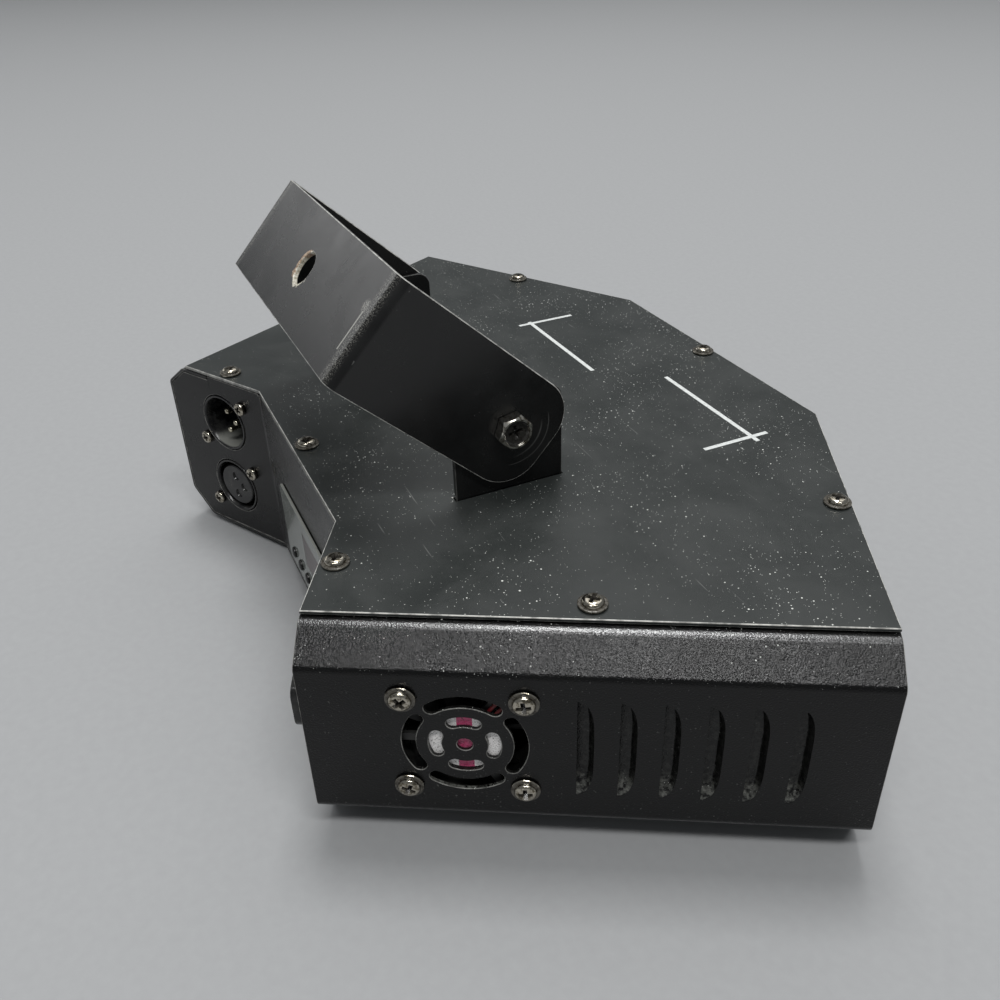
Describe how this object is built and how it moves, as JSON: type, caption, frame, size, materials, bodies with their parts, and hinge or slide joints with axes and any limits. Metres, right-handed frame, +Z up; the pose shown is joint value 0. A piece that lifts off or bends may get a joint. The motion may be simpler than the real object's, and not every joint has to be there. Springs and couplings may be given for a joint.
{
  "type": "scanner light",
  "caption": "Fan-shaped effect light in a folded sheet steel housing, with round windows in front, a cooling fan in each end, rear sockets and menu, and a tilting yoke to hang it by.",
  "frame": {"origin": "middle of the outline at the height that the feet stand on", "axes": "+X along the yoke's pivot from the end wall shown in the picture to the other end, +Y to the rear with its sockets, +Z up"},
  "size_m": [0.3444, 0.1972, 0.1469],
  "materials": {
    "cover_paint": "satin black powder coat",
    "housing_paint": "fine textured black powder coat",
    "yoke_paint": "semi-gloss black powder coat, scratched",
    "screw_plating": "nickel plated steel",
    "bolt_plating": "plated steel",
    "fan_plastic": "moulded black",
    "socket_plastic": "moulded black, satin",
    "overlay_gloss": "glossy dark film",
    "button_plastic": "moulded black, domed",
    "circuit_board": "green solder mask",
    "window_glass": "clear flat glass",
    "laser_alloy": "machined",
    "zinc_bracket": "zinc plated sheet steel",
    "mirror_silver": "front-silvered glass on a steel shaft",
    "foot_rubber": "matt black"
  },
  "bodies": {
    "housing": {"bottom_tray": "housing_paint", "front_panel": "housing_paint", "rear_panel": "housing_paint", "top_cover": "cover_paint", "cover_screw_1": "screw_plating", "cover_screw_2": "screw_plating", "cover_screw_3": "screw_plating", "cover_screw_4": "screw_plating", "cover_screw_5": "screw_plating", "cover_screw_6": "screw_plating", "cover_screw_7": "screw_plating", "cover_screw_8": "screw_plating", "fan_frame_near": "fan_plastic", "fan_frame_far": "fan_plastic", "fan_screw_near_1": "screw_plating", "fan_screw_near_2": "screw_plating", "fan_screw_near_3": "screw_plating", "fan_screw_near_4": "screw_plating", "fan_screw_far_1": "screw_plating", "fan_screw_far_2": "screw_plating", "fan_screw_far_3": "screw_plating", "fan_screw_far_4": "screw_plating", "dmx_in_socket": "socket_plastic", "dmx_out_socket": "socket_plastic", "dmx_in_screw_1": "screw_plating", "dmx_in_screw_2": "screw_plating", "dmx_out_screw_1": "screw_plating", "dmx_out_screw_2": "screw_plating", "power_inlet": "socket_plastic", "control_overlay": "overlay_gloss", "control_board": "circuit_board", "power_board": "circuit_board", "window_glass_centre": "window_glass", "window_glass_near": "window_glass", "window_glass_far": "window_glass", "scan_drive_centre": "zinc_bracket", "scan_drive_near": "zinc_bracket", "scan_drive_far": "zinc_bracket", "laser_block_centre": "laser_alloy", "laser_block_near": "laser_alloy", "laser_block_far": "laser_alloy", "rubber_foot_1": "foot_rubber", "rubber_foot_2": "foot_rubber", "rubber_foot_3": "foot_rubber", "rubber_foot_4": "foot_rubber", "yoke_lug_near": "yoke_paint", "yoke_lug_far": "yoke_paint", "yoke_bolt_near": "bolt_plating", "yoke_bolt_far": "bolt_plating"},
    "yoke": {"yoke": "yoke_paint"},
    "fan_rotor_near": {"fan_rotor_near": "fan_plastic"},
    "fan_rotor_far": {"fan_rotor_far": "fan_plastic"},
    "scan_mirror_centre": {"scan_mirror_centre": "mirror_silver"},
    "scan_mirror_near": {"scan_mirror_near": "mirror_silver"},
    "scan_mirror_far": {"scan_mirror_far": "mirror_silver"},
    "menu_button_1": {"menu_button_1": "button_plastic"},
    "menu_button_2": {"menu_button_2": "button_plastic"},
    "menu_button_3": {"menu_button_3": "button_plastic"},
    "menu_button_4": {"menu_button_4": "button_plastic"}
  },
  "joints": [
    {"name": "yoke_tilt", "type": "hinge", "parent": "housing", "child": "yoke", "pos_m": [0, 0.01574, 0.095], "axis": [1, 0, 0], "range_deg": [-42, 136]},
    {"name": "fan_spin_near", "type": "hinge", "parent": "housing", "child": "fan_rotor_near", "pos_m": [-0.11681, 0.0588, 0.0398], "axis": [-0.8695, 0.4939, 0], "continuous": true},
    {"name": "fan_spin_far", "type": "hinge", "parent": "housing", "child": "fan_rotor_far", "pos_m": [0.11681, 0.0588, 0.0398], "axis": [0.8695, 0.4939, 0], "continuous": true},
    {"name": "mirror_scan_centre", "type": "hinge", "parent": "housing", "child": "scan_mirror_centre", "pos_m": [0, -0.07655, 0.03825], "axis": [1, 0, 0], "range_deg": [-15, 15]},
    {"name": "mirror_scan_near", "type": "hinge", "parent": "housing", "child": "scan_mirror_near", "pos_m": [-0.10053, -0.05103, 0.03825], "axis": [0.8695, -0.4939, 0], "range_deg": [-15, 15]},
    {"name": "mirror_scan_far", "type": "hinge", "parent": "housing", "child": "scan_mirror_far", "pos_m": [0.10053, -0.05103, 0.03825], "axis": [0.8695, 0.4939, 0], "range_deg": [-15, 15]},
    {"name": "button_1_press", "type": "slide", "parent": "housing", "child": "menu_button_1", "axis": [0, -1, 0], "range_m": [0, 0.0005], "stiffness_N_per_m": 500},
    {"name": "button_2_press", "type": "slide", "parent": "housing", "child": "menu_button_2", "axis": [0, -1, 0], "range_m": [0, 0.0005], "stiffness_N_per_m": 500},
    {"name": "button_3_press", "type": "slide", "parent": "housing", "child": "menu_button_3", "axis": [0, -1, 0], "range_m": [0, 0.0005], "stiffness_N_per_m": 500},
    {"name": "button_4_press", "type": "slide", "parent": "housing", "child": "menu_button_4", "axis": [0, -1, 0], "range_m": [0, 0.0005], "stiffness_N_per_m": 500}
  ]
}
